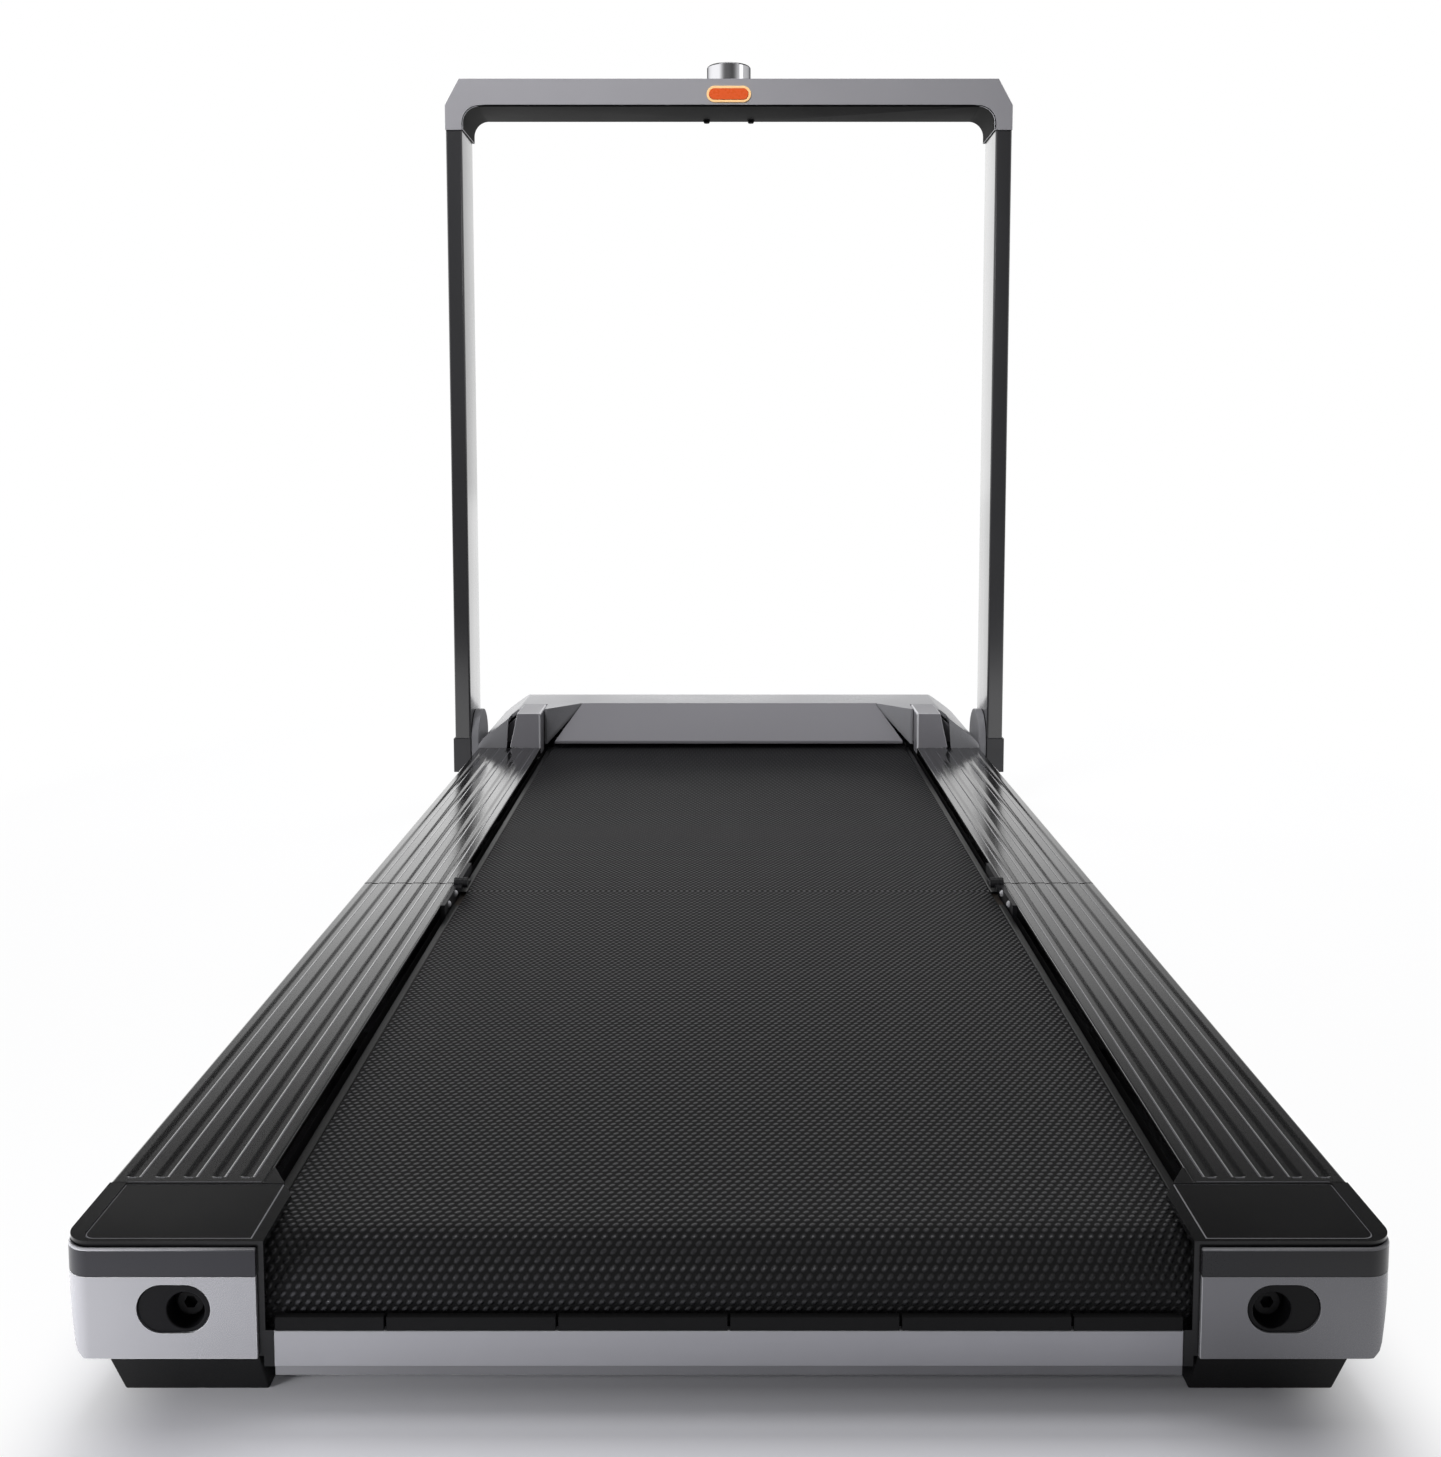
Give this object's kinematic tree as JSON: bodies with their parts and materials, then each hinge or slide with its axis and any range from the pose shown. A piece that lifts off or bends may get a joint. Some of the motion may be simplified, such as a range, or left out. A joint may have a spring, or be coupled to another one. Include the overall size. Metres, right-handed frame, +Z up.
{
  "type": "folding walking pad",
  "caption": "Folding walking pad: a flat deck hinged across its middle, a dotted belt between fluted rails, and a fold-down U-shaped handle with a speed knob and a stop button.",
  "frame": {"origin": "on the floor under the middle of the unfolded pad's bounding box", "axes": "+Z up; +Y along the deck from the rear end to the hood and handle; +X across the deck to the walker's right"},
  "size_m": [0.732, 1.428, 0.975],
  "materials": {
    "frame_steel": "black powder coat",
    "rail_cover": "matt fluted",
    "side_beam": "satin anodised",
    "board": "raw fibreboard",
    "cushion": "plain",
    "walking_belt": "dotted relief",
    "guide": "satin",
    "pan": "matt black",
    "cap_shell": "fine texture",
    "cap_plate": "fine texture",
    "cap_band": "satin",
    "cap_face": "silver paint",
    "port_insert": "semi gloss",
    "foot": "plain",
    "guard": "plain",
    "cross_beam": "satin anodised",
    "hinge_steel": "semi gloss",
    "bright_steel": "turned",
    "bolt_steel": "black oxide",
    "hood": "grey metallic paint",
    "hood_ramp": "grey metallic paint",
    "hood_block": "satin",
    "fascia": "fine texture",
    "motor": "semi gloss",
    "controller": "cast fins",
    "inlet": "plain",
    "lug": "powder coat",
    "ribbed_belt": "ribbed",
    "pulley": "machined",
    "wheel": "plain",
    "rocker": "gloss",
    "upright": "satin powder coat",
    "sleeve": "satin",
    "console": "grey metallic paint",
    "liner": "fine texture",
    "ring": "translucent",
    "circuit": "solder mask",
    "encoder": "plain",
    "stop_key": "lit",
    "knob": "polished"
  },
  "bodies": {
    "front_deck": {"front_frame": "frame_steel", "front_rail_covers": "rail_cover", "front_side_beams": "side_beam", "front_running_board": "board", "front_cushions": "cushion", "front_walking_belt": "walking_belt", "front_belt_guides": "guide", "front_bottom_pan": "pan", "front_hinge_leaves": "hinge_steel", "deck_hinge_pins": "bright_steel", "front_feet": "foot", "hood_cover": "hood", "hood_ramp": "hood_ramp", "hood_end_blocks": "hood_block", "front_fascia": "fascia", "motor_can": "motor", "motor_cradle": "frame_steel", "motor_controller": "controller", "power_inlet": "inlet", "handle_hinge_lugs": "lug", "wheel_axles": "bright_steel", "drive_axle": "bright_steel", "ribbed_belt": "ribbed_belt"},
    "rear_deck": {"rear_frame": "frame_steel", "rear_rail_covers": "rail_cover", "rear_side_beams": "side_beam", "rear_running_board": "board", "rear_cushions": "cushion", "rear_walking_belt": "walking_belt", "rear_belt_guides": "guide", "rear_bottom_pan": "pan", "rear_caps": "cap_shell", "cap_top_plates": "cap_plate", "cap_bands": "cap_band", "cap_faces": "cap_face", "bolt_port_inserts": "port_insert", "rear_feet": "foot", "rear_guard_strip": "guard", "rear_cross_beam": "cross_beam", "rear_hinge_leaves": "hinge_steel", "idler_axle": "bright_steel"},
    "idler_drum": {"idler_roller": "bright_steel"},
    "left_bolt": {"tension_bolt_left": "bolt_steel"},
    "right_bolt": {"tension_bolt_right": "bolt_steel"},
    "drive_drum": {"drive_roller": "bright_steel", "drive_pulley": "pulley"},
    "motor_shaft": {"motor_rotor": "bright_steel"},
    "left_wheel": {"wheel_left": "wheel"},
    "right_wheel": {"wheel_right": "wheel"},
    "power_switch": {"power_rocker": "rocker"},
    "handle": {"upright_left": "upright", "upright_right": "upright", "upright_sleeves": "sleeve", "console_shell": "console", "console_liner": "liner", "button_ring": "ring", "control_board": "circuit", "encoder": "encoder"},
    "stop_key": {"stop_button": "stop_key"},
    "speed_dial": {"speed_knob": "knob"}
  },
  "joints": [
    {"name": "deck_fold", "type": "hinge", "parent": "front_deck", "child": "rear_deck", "pos_m": [0, -0.113, 0.0825], "axis": [-1, 0, 0], "range_deg": [0, 180]},
    {"name": "handle_fold", "type": "hinge", "parent": "front_deck", "child": "handle", "pos_m": [0, 0.532, 0.088], "axis": [1, 0, 0], "range_deg": [0, 87]},
    {"name": "drive_spin", "type": "hinge", "parent": "front_deck", "child": "drive_drum", "pos_m": [0, 0.566, 0.047], "axis": [-1, 0, 0], "continuous": true},
    {"name": "idler_spin", "type": "hinge", "parent": "rear_deck", "child": "idler_drum", "pos_m": [0, -0.679, 0.047], "axis": [-1, 0, 0], "continuous": true},
    {"name": "motor_spin", "type": "hinge", "parent": "front_deck", "child": "motor_shaft", "pos_m": [0, 0.655, 0.064], "axis": [-1, 0, 0], "continuous": true},
    {"name": "left_wheel_spin", "type": "hinge", "parent": "front_deck", "child": "left_wheel", "pos_m": [-0.302, 0.689, 0.03], "axis": [1, 0, 0], "continuous": true},
    {"name": "right_wheel_spin", "type": "hinge", "parent": "front_deck", "child": "right_wheel", "pos_m": [0.302, 0.689, 0.03], "axis": [1, 0, 0], "continuous": true},
    {"name": "left_bolt_turn", "type": "hinge", "parent": "rear_deck", "child": "left_bolt", "pos_m": [-0.271, -0.698, 0.047], "axis": [0, 1, 0], "continuous": true},
    {"name": "right_bolt_turn", "type": "hinge", "parent": "rear_deck", "child": "right_bolt", "pos_m": [0.271, -0.698, 0.047], "axis": [0, 1, 0], "continuous": true},
    {"name": "power_rock", "type": "hinge", "parent": "front_deck", "child": "power_switch", "pos_m": [-0.184, 0.7055, 0.038], "axis": [-1, 0, 0], "range_deg": [0, 16]},
    {"name": "stop_press", "type": "slide", "parent": "handle", "child": "stop_key", "axis": [0, 1, 0], "range_m": [0, 0.002], "stiffness_N_per_m": 600, "springref_m": -0.0005},
    {"name": "speed_turn", "type": "hinge", "parent": "handle", "child": "speed_dial", "pos_m": [0, 0.534, 0.9505], "axis": [0, 0, 1], "continuous": true}
  ],
  "couplings": [
    {"joint": "idler_spin", "follows": "drive_spin", "ratio": 1},
    {"joint": "motor_spin", "follows": "drive_spin", "ratio": 2.4545}
  ]
}
